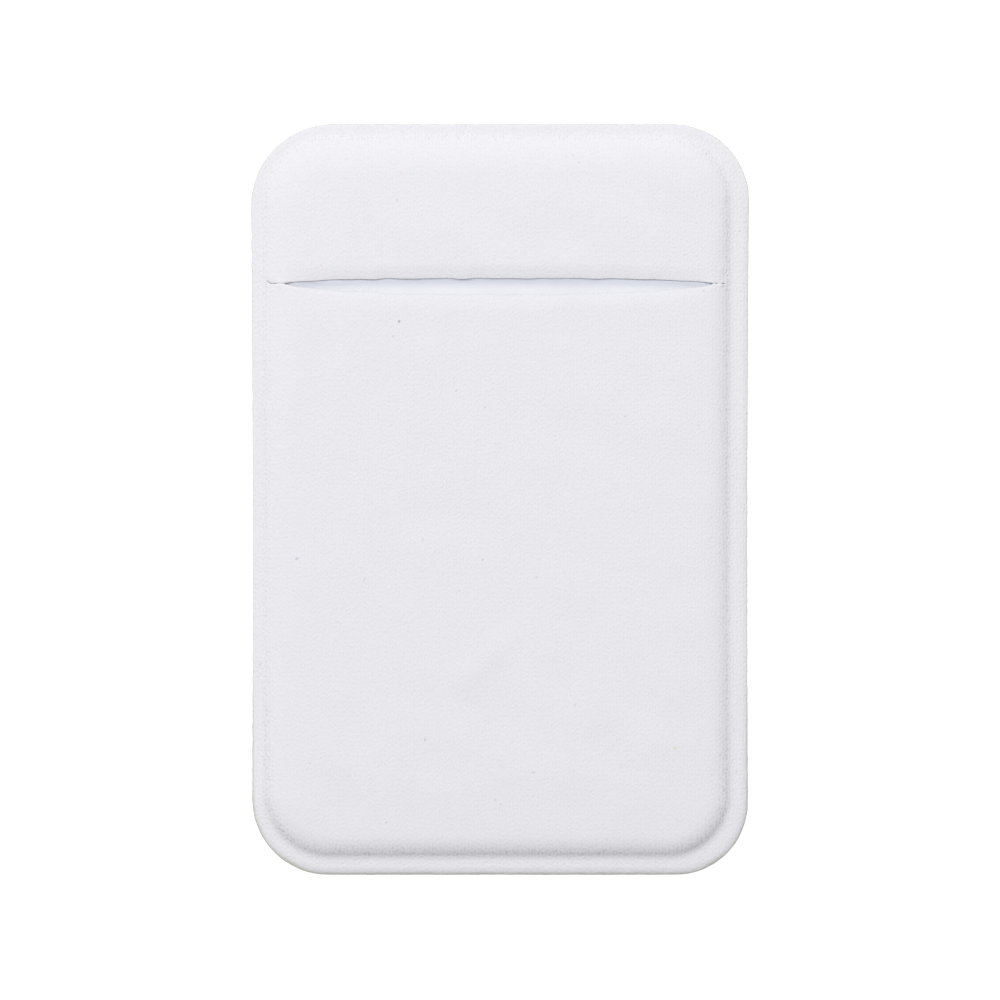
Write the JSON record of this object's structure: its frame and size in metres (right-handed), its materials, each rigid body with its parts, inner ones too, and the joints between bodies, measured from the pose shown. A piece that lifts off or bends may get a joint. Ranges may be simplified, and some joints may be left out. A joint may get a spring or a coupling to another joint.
{
  "type": "stick-on phone card holder",
  "caption": "Slim fabric pocket that sticks to the back of a phone and holds cards, slid in through a slit near its top.",
  "frame": {"origin": "middle of the release liner's back face, the face that the holder lies on", "axes": "+Z out of the front face, +Y to the slit end, +X to the right seen from the front"},
  "size_m": [0.0634, 0.096, 0.0029],
  "materials": {
    "knit": "matt white stretch knit",
    "lining": "smooth bluish white",
    "adhesive": "tacky satin",
    "liner": "smooth, lightly waxed"
  },
  "bodies": {
    "root": {"upper_front_panel": "knit", "lower_front_panel": "knit", "back_panel": "lining", "adhesive_sheet": "adhesive", "release_liner": "liner"}
  },
  "joints": []
}
